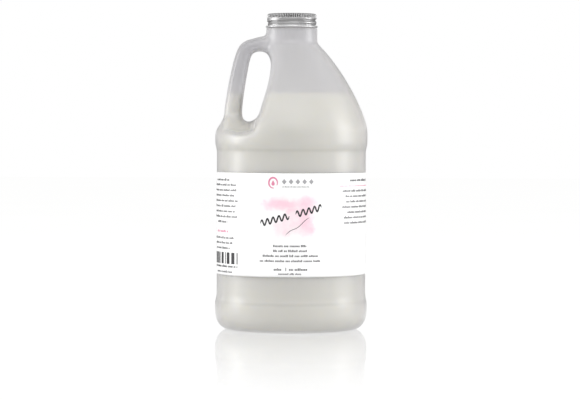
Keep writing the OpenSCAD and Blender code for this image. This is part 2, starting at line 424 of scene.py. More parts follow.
def mouth_rings():
    """(radius, height) rings from the neck's inner wall up the bore to the lip."""
    wall_r = NECK_R - WALL
    rings = [
        (wall_r + (MOUTH_R - wall_r) * smooth_step(t, 0, 1), CUT_Z + BORE_START + BORE_RISE * t)
        for t in np.linspace(0, 1, 7)
    ]
    rings += [(MOUTH_R, z) for z in np.linspace(*BORE_STRAIGHT, 5)]
    rings += arc(MOUTH_R + LIP_IN, LIP_Z - LIP_IN, LIP_IN, 180, 90, 4)
    return rings


def angle_of(vert):
    return math.atan2(vert.co.y, vert.co.x)


def grow(bm, loop, rings, thread=False):
    """Adds rings of vertices above a loop and joins them with quads. Returns the last ring."""
    angles = np.array([angle_of(v) for v in loop])
    for r, z in rings:
        out = np.full(len(loop), r)
        if thread and abs(r - ROOT_R) < 1e-6:
            ridge = helix_ridge(angles, z, THREAD_Z, THREAD_TURN, THREAD_BASE, THREAD_CREST, THREAD_FADE)
            out += (CREST_R - ROOT_R) * ridge
        ring = [bm.verts.new((o * math.cos(a), o * math.sin(a), z)) for o, a in zip(out, angles)]
        for i in range(len(loop)):
            k = (i + 1) % len(loop)
            bm.faces.new((loop[i], loop[k], ring[k], ring[i]))
        loop = ring
    return loop


def zip_loops(bm, a, b):
    """Joins two loops round the axis, sorted by angle, with triangles."""
    i = j = 0
    while i < len(a) or j < len(b):
        next_a = angle_of(a[(i + 1) % len(a)]) + (2 * math.pi if i + 1 >= len(a) else 0)
        next_b = angle_of(b[(j + 1) % len(b)]) + (2 * math.pi if j + 1 >= len(b) else 0)
        if j >= len(b) or (i < len(a) and next_a <= next_b):
            bm.faces.new((a[i], a[(i + 1) % len(a)], b[j % len(b)]))
            i += 1
        else:
            bm.faces.new((a[i % len(a)], b[(j + 1) % len(b)], b[j]))
            j += 1


def open_loops(bm):
    """The vertices of the two open edge loops, each sorted by angle, the outer loop first."""
    rim = {v for e in bm.edges if e.is_boundary for v in e.verts}
    between = NECK_R - WALL / 2
    outer = [v for v in rim if v.co.xy.length > between]
    inner = [v for v in rim if v.co.xy.length <= between]
    return sorted(outer, key=angle_of), sorted(inner, key=angle_of)


def build_jug(outer_step, inner_step):
    """The whole moulding as one closed skin: outside, threaded neck, mouth and inside."""
    outer, outer_quads = Moulding(outer_step).surface(0.0)
    inner, inner_quads = Moulding(inner_step).surface(-WALL)
    points = np.vstack([outer, inner])
    faces = np.vstack([outer_quads, inner_quads[:, ::-1] + len(outer)])
    jug = new_object("jug_moulding", points, faces)
    bm = bmesh.new()
    bm.from_mesh(jug.data)
    bmesh.ops.bisect_plane(
        bm, geom=bm.verts[:] + bm.edges[:] + bm.faces[:], dist=1e-6,
        plane_co=(0, 0, CUT_Z), plane_no=(0, 0, 1), clear_outer=True,
    )
    outer_loop, inner_loop = open_loops(bm)
    for v in outer_loop + inner_loop:
        v.co.z = CUT_Z
    lip = grow(bm, outer_loop, finish_rings(), thread=True)
    mouth = grow(bm, inner_loop, mouth_rings())
    zip_loops(bm, lip, mouth)
    for f in bm.faces:
        f.smooth = True
    bm.to_mesh(jug.data)
    bm.free()
    return face_outwards(jug)


# ---- the liquid
LIQUID_GAP = 0.3 * MM


def build_liquid(step):
    """The liquid, level on top, as high as the frame says it stands in body and handle."""
    moulding = Moulding(step)
    moulding.field = np.maximum(moulding.field + WALL + LIQUID_GAP, moulding.zs - FILL_Z)
    return new_object("liquid", *moulding.surface(0.0))


# ---- the cap
METAL = 0.32 * MM
SKIRT_R = 19.6 * MM
TOP_ROUND = 1.7 * MM
KNURLS = 84
COLUMNS_PER_TOOTH = 6
KNURL_DEPTH = 0.6 * MM
KNURL_LOW = CAP_TOP - 3.7 * MM
KNURL_START = 0.6 * MM
# The teeth fade in between these radii, round the top's edge
KNURL_RIM = (17.8 * MM, 18.8 * MM)
CURL_TUBE = 0.72 * MM
CURL_Z = cap_low.z + CURL_TUBE
CURL_TURN = (-200, 75)
WAIST_R = SKIRT_R - 0.75 * MM
WAIST_Z = CURL_Z + 1.15 * MM
RIDGE_Z = CURL_Z + 2.7 * MM
SKIRT_STEP = 0.2 * MM
# The rolled thread: its height over +X, its ends in degrees, its depth and half widths
ROLL_Z = NECK_TOP + 6.2 * MM
ROLL_TURN = (-290, 190)
ROLL_DEPTH = 0.9 * MM
ROLL_BASE = 1.35 * MM
ROLL_FLOOR = 0.1 * MM
ROLL_FADE = 45
# Below the knurl the roll fades out over this height
ROLL_END = 0.8 * MM
# The sunk middle of the cap's top in mm, as (radius, depth below the rim)
TOP_RINGS = ((17.3, 0.03), (16.7, 0.1), (16.1, 0.26), (15.4, 0.32), (12, 0.32), (6, 0.3), (1.5, 0.28))


def cap_profile():
    """(radius, height) points up the cap's outside, from inside the curl to the top's centre."""
    points = arc(CURL_R - CURL_TUBE, CURL_Z, CURL_TUBE, *CURL_TURN, 20)
    waist = (WAIST_R, WAIST_Z)
    ridge = (SKIRT_R, RIDGE_Z)
    below = ((WAIST_R + 0.45 * MM, WAIST_Z - 0.5 * MM), (WAIST_R, WAIST_Z - 0.4 * MM))
    above = ((WAIST_R, WAIST_Z + 0.7 * MM), (SKIRT_R, RIDGE_Z - 0.8 * MM))
    points += curve(points[-1], *below, waist, 5)[1:].tolist()
    points += curve(waist, *above, ridge, 8)[1:].tolist()
    corner_z = CAP_TOP - TOP_ROUND
    points += [(SKIRT_R, z) for z in np.arange(RIDGE_Z + SKIRT_STEP, corner_z, SKIRT_STEP)]
    points += arc(SKIRT_R - TOP_ROUND, corner_z, TOP_ROUND, 0, 90, 12)
    return np.array(points + [(r * MM, CAP_TOP - down * MM) for r, down in TOP_RINGS])


def cap_ring(angles, r, z, inset):
    """Points round a ring of the cap's sheet, with rolled thread and knurl, inset in the metal."""
    out = np.full(len(angles), r)
    if r > SKIRT_R - 1 * MM and z > WAIST_Z:
        skirt = smooth_step(z, WAIST_Z, RIDGE_Z) * (1 - smooth_step(z, KNURL_LOW, KNURL_LOW + ROLL_END))
        roll = helix_ridge(angles, z, ROLL_Z, ROLL_TURN, ROLL_BASE, ROLL_FLOOR, ROLL_FADE)
        out -= ROLL_DEPTH * skirt * smooth_step(roll, 0, 1)
    band = smooth_step(z, KNURL_LOW, KNURL_LOW + KNURL_START) * smooth_step(out, *KNURL_RIM)
    tooth = 0.5 + 0.5 * np.cos(KNURLS * angles)
    out -= band * KNURL_DEPTH * tooth**2 + inset
    return np.stack([out * np.cos(angles), out * np.sin(angles), np.full(len(angles), z)], 1)


def build_cap():
    """The cap as one closed sheet of metal: outside, then back down the inside."""
    columns = KNURLS * COLUMNS_PER_TOOTH
    angles = 2 * math.pi * np.arange(columns) / columns
    outside = cap_profile()
    slopes = np.gradient(outside, axis=0)
    normals = np.stack([slopes[:, 1], -slopes[:, 0]], 1) / np.hypot(*slopes.T)[:, None]
    inside = (outside - METAL * normals)[::-1]
    rings = [cap_ring(angles, r, z, 0.0) for r, z in outside]
    rings += [cap_ring(angles, r + METAL, z, METAL) for r, z in inside]
    # The last ring outside and the first inside are closed by fans round the top's middle
    last = len(outside) - 1
    middle = CAP_TOP - TOP_RINGS[-1][1] * MM
    centres = {last: (0, 0, middle), last + 1: (0, 0, middle - METAL)}
    verts = np.vstack(rings + list(centres.values()))
    pairs = [(c, (c + 1) % columns) for c in range(columns)]
    faces = []
    for i in range(len(rings)):
        a = i * columns
        b = (i + 1) % len(rings) * columns
        if i != last:
            faces += [(a + c, a + d, b + d, b + c) for c, d in pairs]
        if i in centres:
            centre = len(rings) * columns + i - last
            faces += [(a + c, a + d, centre) for c, d in pairs]
    return face_outwards(new_object("metal_cap", verts, faces))


# ---- the label and its print
LABEL_T = 0.15 * MM
LABEL_CORNER = 1.5 * MM
LABEL_GAP = 6 * MM
LABEL_COLUMNS = 360
LABEL_ROWS = 40
# Words lie on the film, and brushed strokes on top of them
PRINT_T = 0.02 * MM
WORDS_R = LABEL_OUT_R + 0.02 * MM
STROKES_R = WORDS_R + 1.5 * PRINT_T
# Length after which a block of print bends again
BEND = 1.2 * MM

# Dummy lines in mm: middle, counted round the label from its front, foot, width and height
FRONT_LINES = (
    (-0.5, 67.9, 27, 1.7), (-0.5, 64.1, 27, 1.7), (-0.5, 60.2, 44, 1.7), (-0.5, 56.3, 49, 1.7),
    (-10.5, 49.6, 6, 1.9), (6.0, 49.6, 15, 1.9), (-1.0, 46.4, 18, 1.4), (4.0, 114.2, 22, 0.8),
)
LEFT_HEADING = (-69, 118.5, 25, 1.9)
LEFT_CODE = (-66, 50.6, 41, 2.0)
LEFT_LAST = (-66, 46.4, 28, 1.8)
RIGHT_HEADING = (69, 118.5, 33, 1.9)
PINK_LINES = ((-69, 78.0, 22, 2.0), (69, 114.6, 56, 0.8))
# The two blocks of body text: middle, line height, and the drop from line to line
SIDE_MIDDLE = 69
TEXT_TALL = 1.8
TEXT_DROP = 4.15
# A short upright rule, as (left, low, right, high)
RULE = (-4.3, 49.4, -3.8, 51.9)
# The row of bars: its ends, foot and top, and the widths and gaps it draws from
BARS = (-86, -47, 53.4, 62.4)
BAR_WIDTHS = (1.2, 2.4, 4.0)
BAR_GAPS = (0.9, 1.5, 2.4)
# Letters of a dummy word against the line's height: widths, heights and gaps
LETTER_WIDE = (0.55, 0.95)
LETTER_TRIM = 0.62
LETTER_TALL = (0.72, 0.72, 0.72, 1.0)
LETTER_GAP = 0.16
WORD_GAP = 0.5
WORD_LETTERS = (2, 9)


def on_label(across, height, r):
    """The point at arc length across from the label's middle, to the right, at a radius."""
    a = across / LABEL_OUT_R - math.pi / 2
    return r * math.cos(a), r * math.sin(a), height


def build_label():
    """The label's film with rounded corners, wrapped on the panel, ends apart at the back."""
    half = math.pi * LABEL_OUT_R - LABEL_GAP / 2
    verts = []
    for r in (LABEL_OUT_R - LABEL_T, LABEL_OUT_R):
        for u in np.linspace(-half, half, LABEL_COLUMNS + 1):
            short = max(0, LABEL_CORNER - (half - abs(u)))
            cut = LABEL_CORNER - math.sqrt(LABEL_CORNER**2 - short**2)
            heights = np.linspace(label_low.z + cut, label_high.z - cut, LABEL_ROWS + 1)
            verts += [on_label(u, z, r) for z in heights]

    def at(side, i, j):
        return (side * (LABEL_COLUMNS + 1) + i) * (LABEL_ROWS + 1) + j

    faces = []
    for i in range(LABEL_COLUMNS):
        for j in range(LABEL_ROWS):
            faces.append((at(1, i, j), at(1, i + 1, j), at(1, i + 1, j + 1), at(1, i, j + 1)))
            faces.append((at(0, i, j), at(0, i, j + 1), at(0, i + 1, j + 1), at(0, i + 1, j)))
    border = [(i, 0) for i in range(LABEL_COLUMNS)]
    border += [(LABEL_COLUMNS, j) for j in range(LABEL_ROWS)]
    border += [(i, LABEL_ROWS) for i in range(LABEL_COLUMNS, 0, -1)]
    border += [(0, j) for j in range(LABEL_ROWS, 0, -1)]
    for here, there in zip(border, border[1:] + border[:1]):
        faces.append((at(0, *here), at(0, *there), at(1, *there), at(1, *here)))
    return new_object("label_film", verts, faces)


def build_bars(name, bars):
    """One object of closed four-sided bars, each a list of stations with four corners."""
    verts, faces = [], []
    for stations in bars:
        first = len(verts)
        for corners in stations:
            verts += corners
        end = len(verts) - 4
        for a in range(first, end, 4):
            for j in range(4):
                k = (j + 1) % 4
                faces.append((a + j, a + 4 + j, a + 4 + k, a + k))
        faces.append((first, first + 1, first + 2, first + 3))
        faces.append((end + 3, end + 2, end + 1, end))
    return face_outwards(new_object(name, verts, faces, smooth=False))


def block(left, low, right, high):
    """A rectangle of print as a bar that bends round the label."""
    bends = max(1, math.ceil((right - left) / BEND))
    corners = ((WORDS_R, low), (WORDS_R + PRINT_T, low), (WORDS_R + PRINT_T, high), (WORDS_R, high))
    return [
        [on_label(left + (right - left) * i / bends, z, r) for r, z in corners]
        for i in range(bends + 1)
    ]


def dummy_line(rng, middle, low, width, height):
    """Plain blocks, of sizes drawn at random, for the words of a centred line given in mm."""
    middle, low, width, height = (v * MM for v in (middle, low, width, height))
    u = middle - width / 2
    right = middle + width / 2
    blocks = []
    while u < right - 0.5 * MM:
        for _ in range(rng.randint(*WORD_LETTERS)):
            wide = rng.uniform(*LETTER_WIDE) * height * LETTER_TRIM
            tall = height * rng.choice(LETTER_TALL)
            if u + wide > right:
                break
            blocks.append(block(u, low, u + wide, low + tall))
            u += wide + LETTER_GAP * height
        u += WORD_GAP * height
    return blocks


def dummy_bars(rng):
    """A row of upright bars, of widths drawn at random, that encodes nothing."""
    u, end, low, high = (v * MM for v in BARS)
    bars = []
    while u < end:
        wide = rng.choice(BAR_WIDTHS) * MM
        bars.append(block(u, low, u + wide, high))
        u += wide + rng.choice(BAR_GAPS) * MM
    return bars


def build_print():
    """The label's dummy words, headings and bars, which say nothing."""
    rng = random.Random(7)
    grey, dark, pink = [], [], []
    for line in FRONT_LINES:
        grey += dummy_line(rng, *line)
    grey.append(block(*(v * MM for v in RULE)))
    dark += dummy_line(rng, *LEFT_HEADING)
    for k in range(8):
        width = 42 + 4 * math.sin(2.4 * k) if k < 7 else 20
        grey += dummy_line(rng, -SIDE_MIDDLE, 114.6 - TEXT_DROP * k, width, TEXT_TALL)
    for k in range(3):
        grey += dummy_line(rng, -SIDE_MIDDLE, 73.0 - 4.0 * k, 38 - 5 * k, TEXT_TALL)
    dark += dummy_line(rng, *LEFT_CODE)
    grey += dummy_line(rng, *LEFT_LAST)
    dark += dummy_line(rng, *RIGHT_HEADING)
    for k in range(7):
        width = 45 + 6 * math.sin(2.4 * k + 1)
        grey += dummy_line(rng, SIDE_MIDDLE, 110.3 - TEXT_DROP * k, width, TEXT_TALL)
    for line in PINK_LINES:
        pink += dummy_line(rng, *line)
    dark += dummy_bars(rng)
    return (
        build_bars("label_words", grey),
        build_bars("label_headings", dark),
        build_bars("label_pink_words", pink),
    )


def ribbon(name, centre, widths):
    """A flat stroke wrapped on the label. Its centre line is given as (across, height) in mm."""
    centre = centre * MM
    step = np.gradient(centre, axis=0)
    step /= np.linalg.norm(step, axis=1)[:, None]
    side = np.stack([-step[:, 1], step[:, 0]], 1) * (widths * MM / 2)[:, None]
    low, top = STROKES_R, STROKES_R + PRINT_T
    return build_bars(name, [[
        [on_label(*left, low), on_label(*right, low), on_label(*right, top), on_label(*left, top)]
        for left, right in zip(centre + side, centre - side)
    ]])


def tapered(t, slope, least):
    """Share of a stroke's full width along it: least at its two ends, and soon full."""
    return np.clip(np.minimum(t, 1 - t) * slope + least, 0, 1)


def build_stroke(name, first, last, waves):
    """A plain brushed wave that climbs over the wash, from first to last across."""
    t = np.linspace(0, 1, 120)
    across = first + (last - first) * t
    height = 86.0 + 0.26 * (across + 24.5) + 2.3 * np.sin(2 * math.pi * waves * t)
    return ribbon(name, np.stack([across, height], 1), 1.2 * tapered(t, 18, 0.35))


def build_sprig():
    """A thin line that bends a little as it climbs."""
    t = np.linspace(0, 1, 60)
    centre = np.stack([-4.5 + 19 * t, 77 + 13.5 * t + 0.7 * np.sin(9 * t)], 1)
    return ribbon("label_sprig", centre, 0.45 * tapered(t, 8, 0.2))


def build_emblem():
    """An open ring, widest in the middle of its stroke, which is nobody's mark."""
    turn = np.linspace(-0.5, 4.9, 60)
    ring = np.stack([-14.2 + 3.4 * np.cos(turn), 117.6 + 4.0 * np.sin(turn)], 1)
    return ribbon("label_emblem", ring, 0.5 + 0.9 * np.sin(np.linspace(0.1, math.pi - 0.1, 60)))


def build_drop():
    """A drop in the middle of the ring."""
    t = np.linspace(0, 1, 30)
    centre = np.stack([np.full(len(t), -14.2), 115.4 + 4.2 * t], 1)
    return ribbon("label_drop", centre, 2.6 * np.sin(math.pi * t**0.6) + 0.05)


def build_diamonds():
    """A row of plain diamonds where a name would stand."""
    corners = ((0, -2.1), (1.8, 0), (0, 2.1), (-1.8, 0))
    return build_bars("label_diamonds", [
        [
            [on_label((-5.5 + 5.3 * k + u) * MM, (118.5 + z) * MM, r) for u, z in corners]
            for r in (WORDS_R, WORDS_R + PRINT_T)
        ]
        for k in range(5)
    ])


# ---- node helpers
class Nodes:
    """A short way to write the nodes of a material, or of the world."""

    def __init__(self, owner, output="OutputMaterial"):
        self.owner = owner
        owner.use_nodes = True
        self.tree = owner.node_tree
        self.tree.nodes.clear()
        self.output = self.add(output)

    def add(self, kind, inputs=None, **settings):
        node = self.tree.nodes.new("ShaderNode" + kind)
        for key, value in settings.items():
            setattr(node, key, value)
        for key, value in (inputs or {}).items():
            if isinstance(value, bpy.types.NodeSocket):
                self.tree.links.new(value, node.inputs[key])
            else:
                node.inputs[key].default_value = value
        return node

    def math(self, operation, value, *others):
        """The operation on one value, or on a value and each of the others in turn."""
        for other in others or (0.0,):
            value = self.add("Math", {0: value, 1: other}, operation=operation).outputs[0]
        return value

    def times(self, *values):
        return self.math("MULTIPLY", *values)

    def ramp(self, value, low, high, to_low=0, to_high=1):
        return self.add("MapRange", {
            "Value": value, "From Min": low, "From Max": high, "To Min": to_low, "To Max": to_high,
        }, interpolation_type="SMOOTHSTEP").outputs["Result"]

    def place(self, kind="Object"):
        """The x, y and z of the shaded point, or of the direction in the world."""
        parts = self.add("SeparateXYZ", {0: self.add("TexCoord").outputs[kind]})
        return tuple(parts.outputs)

    def radius(self):
        """Distance from the axis of the body."""
        x, y, _ = self.place()
        return self.math("SQRT", self.math("ADD", self.times(x, x), self.times(y, y)))

    def noise(self, scale, detail, stretch=(1, 1, 1), roughness=0.5):
        spread = self.add("Mapping", {"Vector": self.add("TexCoord").outputs["Object"], "Scale": stretch})
        return self.add("TexNoise", {
            "Vector": spread.outputs["Vector"], "Scale": scale, "Detail": detail, "Roughness": roughness,
        }).outputs["Fac"]

    def mix(self, factor, a, b):
        """Colour a where the factor is 0 and colour b where it is 1."""
        return self.add("Mix", {0: factor, 6: a, 7: b}, data_type="RGBA").outputs[2]

    def bump(self, height, strength, distance):
        return self.add("Bump", {
            "Height": height, "Strength": strength, "Distance": distance,
        }).outputs["Normal"]

    def blend(self, factor, a, b):
        """Shader a where the factor is 0 and shader b where it is 1."""
        return self.add("MixShader", {0: factor, 1: a.outputs[0], 2: b.outputs[0]})

    def principled(self, inputs):
        return self.finish(self.add("BsdfPrincipled", inputs))

    def finish(self, shader):
        self.tree.links.new(shader.outputs[0], self.output.inputs["Surface"])
        return self.owner


def material_nodes(name):
    return Nodes(bpy.data.materials.new(name))


def rgb(r, g, b):
    return (r, g, b, 1.0)


def grey(v, blue=0.0):
    """A grey with a trace less green, and with more blue where it is given."""
    return rgb(v, v - 0.003, v + blue)


def milky(v):
    """The slightly cold grey of natural polyethylene."""
    return grey(v, 0.006)


WHITE = rgb(1, 1, 1)

# ---- materials
# Tones of the polyethylene's skin, of the light through it and of its clear part
PE_SKIN = 0.72
PE_SCATTER = 0.74
PE_CLEAR = 0.94
# Share of its light that goes through, and how rough its gloss is
PE_THROUGH = 0.55
PE_ROUGH = 0.36
# Share of the wall that isn't clear, seen straight and edge on, and the slant between
PE_COVER = (0.33, 0.95)
PE_SLANT = (0.45, 0.95)
# Painted shade: how much darker the skin is painted in the panel's creases, and in the grip
CREASE_PAINTED_SHADE = 0.14
CREASE_HALF = 2.2 * MM
CREASES = (PANEL_HIGH + 0.3 * MM, PANEL_LOW - 0.8 * PANEL_STEP)
GRIP_PAINTED_SHADE = 0.11
GRIP_SHADE_SIDE = (-29 * MM, -20 * MM)
GRIP_SHADE_RISE = (SHOULDER_Z + 20 * MM, SHOULDER_Z + 60 * MM)
# How far light travels in the liquid
SCATTER = 12 * MM
# The tinplate's tone and roughness, how far each wanders, and the lighter tone of painted light on the
# curl
METAL_TONE = 0.58
METAL_ROUGH = 0.50
METAL_WANDER = 0.04
CURL_PAINTED_LIGHT = 0.85
# Painted shade in the hollows: its tone, how narrow it is between teeth, and how much the rolled thread
# has
HOLLOW_SHADE_TONE = 0.04
HOLLOW_SHADE_POWER = 1.6
ROLL_PAINTED_SHADE = 0.2
# The pink wash in mm: (left, right, low, high, softness, strength) of each patch
WASH = (
    (-22.5, 21.5, 96.5, 106.5, 4.0, 1.0),
    (-3.0, 18.0, 79.0, 100.0, 4.5, 1.0),
    (-16.0, 16.5, 76.5, 86.5, 4.5, 0.7),
)
# How far the wash's edge wanders, broadly and finely
WASH_WANDER = 16 * MM
WASH_SHIVER = 6 * MM
# The mark that the lip leaves on the liner: where it starts, is full, and ends again
LIP_MARK = (15.7 * MM, 16.2 * MM, 16.8 * MM, 17.3 * MM)


def painted_crease_shade(net):
    """1 along the creases where the label's panel steps in, above and below it: painted shade."""
    z = net.place()[2]
    return net.math("MAXIMUM", *(
        net.ramp(net.math("ABSOLUTE", net.math("SUBTRACT", z, level)), 0.0, CREASE_HALF, 1, 0)
        for level in CREASES
    ))


def painted_grip_shade(net):
    """1 in the grip and its top bar, which are painted darker as shade, and 0 in the body."""
    x, _, z = net.place()
    return net.times(net.ramp(x, *GRIP_SHADE_SIDE, 1, 0), net.ramp(z, *GRIP_SHADE_RISE))


def jug_material():
    """Milky polyethylene, partly clear, with a rippled skin and a satin gloss outside."""
    net = material_nodes("natural_polyethylene")
    ripple = net.noise(55, 2.0, (1, 1, 0.35))
    fine = net.noise(900, 2.0)
    height = net.math("ADD", ripple, net.times(fine, 0.12))
    normal = net.bump(height, 0.18, 0.6 * MM)
    tone = net.mix(net.noise(22, 3.0), milky(PE_SKIN - 0.015), milky(PE_SKIN + 0.015))
    # Painted shade: the skin is painted darker along the panel's creases and in the grip, and the light
    # through the grip is darker too
    tone = net.mix(painted_crease_shade(net), tone, milky(PE_SKIN - CREASE_PAINTED_SHADE))
    grip_shade = painted_grip_shade(net)
    tone = net.mix(grip_shade, tone, milky(PE_SKIN - GRIP_PAINTED_SHADE))
    passed = net.mix(grip_shade, milky(PE_SCATTER), milky(PE_SCATTER - GRIP_PAINTED_SHADE))
    skin = net.add("BsdfPrincipled", {
        "Base Color": tone, "Roughness": PE_ROUGH, "Specular IOR Level": 0.0, "Normal": normal,
    })
    through = net.add("BsdfTranslucent", {"Color": passed, "Normal": normal})
    clear = net.add("BsdfTransparent", {"Color": milky(PE_CLEAR)})
    shine = net.add("BsdfGlossy", {"Color": grey(1.0), "Roughness": PE_ROUGH, "Normal": normal})
    slant = net.add("LayerWeight", {"Blend": 0.5, "Normal": normal}).outputs["Facing"]
    cover = net.ramp(slant, *PE_SLANT, *PE_COVER)
    wall = net.blend(cover, clear, net.blend(PE_THROUGH, skin, through))
    fresnel = net.add("Fresnel", {"IOR": 1.5, "Normal": normal}).outputs[0]
    front = net.math("SUBTRACT", 1.0, net.add("NewGeometry").outputs["Backfacing"])
    return net.finish(net.blend(net.times(fresnel, front), wall, shine))


def liquid_material():
    """A creamy liquid that scatters light."""
    net = material_nodes("creamy_liquid")
    cloud = net.noise(18, 3.0)
    return net.principled({
        "Base Color": net.mix(cloud, rgb(0.94, 0.92, 0.80), rgb(0.96, 0.94, 0.82)),
        "Roughness": 0.3, "IOR": 1.36,
        "Subsurface Weight": 1.0, "Subsurface Radius": (1.0, 0.95, 0.8), "Subsurface Scale": SCATTER,
        "Normal": net.bump(net.noise(60, 1.0), 0.05, 0.5 * MM),
    })


def knurl_painted_shade(net):
    """1 in the hollows between the knurl's teeth, where shade is painted."""
    x, y, z = net.place()
    turn = net.times(net.math("ARCTAN2", y, x), KNURLS)
    tooth = net.math("ADD", net.times(net.math("COSINE", turn), 0.5), 0.5)
    in_knurl = net.ramp(z, KNURL_LOW + 0.1 * MM, KNURL_LOW + 0.6 * MM)
    rim = net.ramp(net.radius(), SKIRT_R - 1.7 * MM, SKIRT_R - 1.0 * MM)
    return net.times(net.math("POWER", tooth, HOLLOW_SHADE_POWER), in_knurl, rim)


def roll_painted_shade(net):
    """Painted shade, up to its full share, where the skirt is sunk by the rolled thread."""
    z = net.place()[2]
    radius = net.radius()
    sunk = net.ramp(radius, SKIRT_R - 0.8 * MM, SKIRT_R - 0.1 * MM, ROLL_PAINTED_SHADE, 0.0)
    outside = net.ramp(radius, SKIRT_R - 1.9 * MM, SKIRT_R - 1.5 * MM)
    above_waist = net.ramp(z, WAIST_Z + 0.3 * MM, RIDGE_Z)
    below_knurl = net.ramp(z, KNURL_LOW - 0.3 * MM, KNURL_LOW + 0.1 * MM, 1, 0)
    return net.times(sunk, above_waist, below_knurl, outside)


def metal_material():
    """Satin tinplate with painted shade in the teeth of the knurl and in the rolled thread, and painted
    light on the curl.
    """
    net = material_nodes("satin_tinplate")
    grain = net.noise(260, 2.0, (1, 1, 9))
    scratch = net.noise(1500, 1.0, (1, 1, 0.06))
    worn = net.noise(45, 4.0)
    tone = net.mix(grain, grey(METAL_TONE - METAL_WANDER), grey(METAL_TONE + METAL_WANDER))
    # Painted light: the curl, fading out at the waist, is painted in a lighter tone than the rest of the
    # tinplate
    curl = net.ramp(net.place()[2], CURL_Z, WAIST_Z + 0.4 * MM, 1, 0)
    tone = net.mix(curl, tone, grey(CURL_PAINTED_LIGHT))
    # Painted shade in the hollows of the knurl and in the groove of the rolled thread
    hollow_shade = net.math("MAXIMUM", knurl_painted_shade(net), roll_painted_shade(net))
    height = net.math("ADD", grain, net.times(scratch, 0.4))
    return net.principled({
        "Base Color": net.mix(hollow_shade, tone, grey(HOLLOW_SHADE_TONE)), "Metallic": 1.0,
        "Roughness": net.ramp(worn, 0.3, 0.75, METAL_ROUGH - METAL_WANDER, METAL_ROUGH + METAL_WANDER),
        "Normal": net.bump(height, 0.12, 0.2 * MM),
    })


def wash_amount(net):
    """Strength of the pink wash: soft patches whose edges wander, paler in tides."""
    x, y, z = net.place()
    angle = net.math("ARCTAN2", x, net.times(y, -1.0))
    broad = net.math("SUBTRACT", net.noise(70, 4.0), 0.5)
    narrow = net.math("SUBTRACT", net.noise(240, 3.0), 0.5)
    wander = net.math("ADD", net.times(broad, WASH_WANDER), net.times(narrow, WASH_SHIVER))
    u = net.math("ADD", net.times(angle, LABEL_OUT_R), wander)
    v = net.math("ADD", z, net.times(wander, -0.8))
    patches = []
    for *sizes, strength in WASH:
        left, right, low, high, soft = (size * MM for size in sizes)
        patches.append(net.times(
            net.ramp(u, left - soft, left + soft), net.ramp(u, right - soft, right + soft, 1, 0),
            net.ramp(v, low - soft, low + soft), net.ramp(v, high - soft, high + soft, 1, 0),
            strength,
        ))
    tide = net.ramp(net.noise(95, 5.0), 0.3, 0.7, 0.45, 1.0)
    return net.times(net.math("MAXIMUM", *patches), tide)


def label_material():
    """White film with a soft pink wash in the middle of the front."""
    net = material_nodes("white_label_film")
    white = net.mix(net.noise(30, 2.0), rgb(0.93, 0.93, 0.93), rgb(0.95, 0.95, 0.945))
    return net.principled({
        "Base Color": net.mix(wash_amount(net), white, rgb(0.91, 0.62, 0.71)),
        "Roughness": 0.42, "IOR": 1.45,
        "Normal": net.bump(net.noise(1400, 2.0), 0.06, 0.1 * MM),
    })


def ink_material(name, light, dark):
    """Printed ink that varies a little between its light and its dark tone."""
    net = material_nodes(name)
    return net.principled({
        "Base Color": net.mix(net.noise(900, 3.0), dark, light), "Roughness": 0.5,
        "Normal": net.bump(net.noise(2500, 2.0), 0.1, 0.05 * MM),
    })


def board_material():
    """Uncoated pulp board with fibres and dark flecks."""
    net = material_nodes("pulp_board")
    fibre = net.noise(420, 6.0, (1, 1, 3), 0.7)
    fleck = net.ramp(net.noise(1300, 2.0), 0.62, 0.72, 0.0, 0.5)
    tone = net.mix(fibre, rgb(0.52, 0.45, 0.34), rgb(0.74, 0.68, 0.56))
    return net.principled({
        "Base Color": net.mix(fleck, tone, rgb(0.36, 0.30, 0.22)), "Roughness": 0.9,
        "Normal": net.bump(fibre, 0.5, 0.2 * MM),
    })


def facing_material():
    """The liner's film, with the mark that the lip presses into it."""
    net = material_nodes("liner_film")
    radius = net.radius()
    ring = net.times(net.ramp(radius, *LIP_MARK[:2]), net.ramp(radius, *LIP_MARK[2:], 1, 0))
    dust = net.times(net.noise(300, 3.0), 0.3)
    return net.principled({
        "Base Color": net.mix(ring, rgb(0.86, 0.86, 0.87), rgb(0.74, 0.74, 0.75)), "Roughness": 0.28,
        "Normal": net.bump(net.math("SUBTRACT", dust, ring), 0.4, 0.3 * MM),
    })


# ---- studio
CAMERA_PLACE = Vector((-0.00095, -2.010, 0.1608))
CAMERA_AIM = Vector((-0.00095, 0, 0.1027))
CAMERA_ROLL = 0.0035
# Softboxes: name, place, width, height and power. All of them face the same point
LAMP_AIM = Vector((0, 0, 0.12))
SOFTBOXES = (
    ("key_box", (0, -1.7, 1.6), 2.2, 1.4, 24),
    ("left_box", (-1.2, 0.0, 0.3), 0.28, 0.9, 8),
    ("right_box", (1.2, -0.1, 0.3), 0.36, 0.9, 7.5),
)
# Brightness of the room as a light, in front and behind, and the turn between them
ROOM_TONES = (0.68, 0.77)
ROOM_TURN = (-0.5, 0.6)
# The same in the gloss: in front, at the dark flags beside the object, and overhead
GLOSS_TONES = (0.35, 0.1)
GLOSS_TURN = (-0.75, -0.1)
GLOSS_TOP = 0.55
TOP_TURN = (0.35, 0.7)
# The white strip behind the object: its lower edge, its upper edge and its sides
STRIP_START = (0.045, 0.06)
STRIP_END = (0.11, 0.14)
STRIP_BACK = (0.0, 0.5)
# The floor's half width and glow, and how much glow is held back from gloss near the object
# and far off, and from matt surfaces
FLOOR_HALF = 6.0
FLOOR_GLOW = 1.06
NEAR_SHADE = 0.45
NEAR_FADE = (0.07, 0.11)
FAR_SHADE = 0.85
FAR_FADE = (0.12, 0.5)
MATT_SHADE = 0.15
# The floor's sheen fades to this share between these distances
SHEEN_LEAST = 0.08
SHEEN_FADE = (0.09, 0.62)


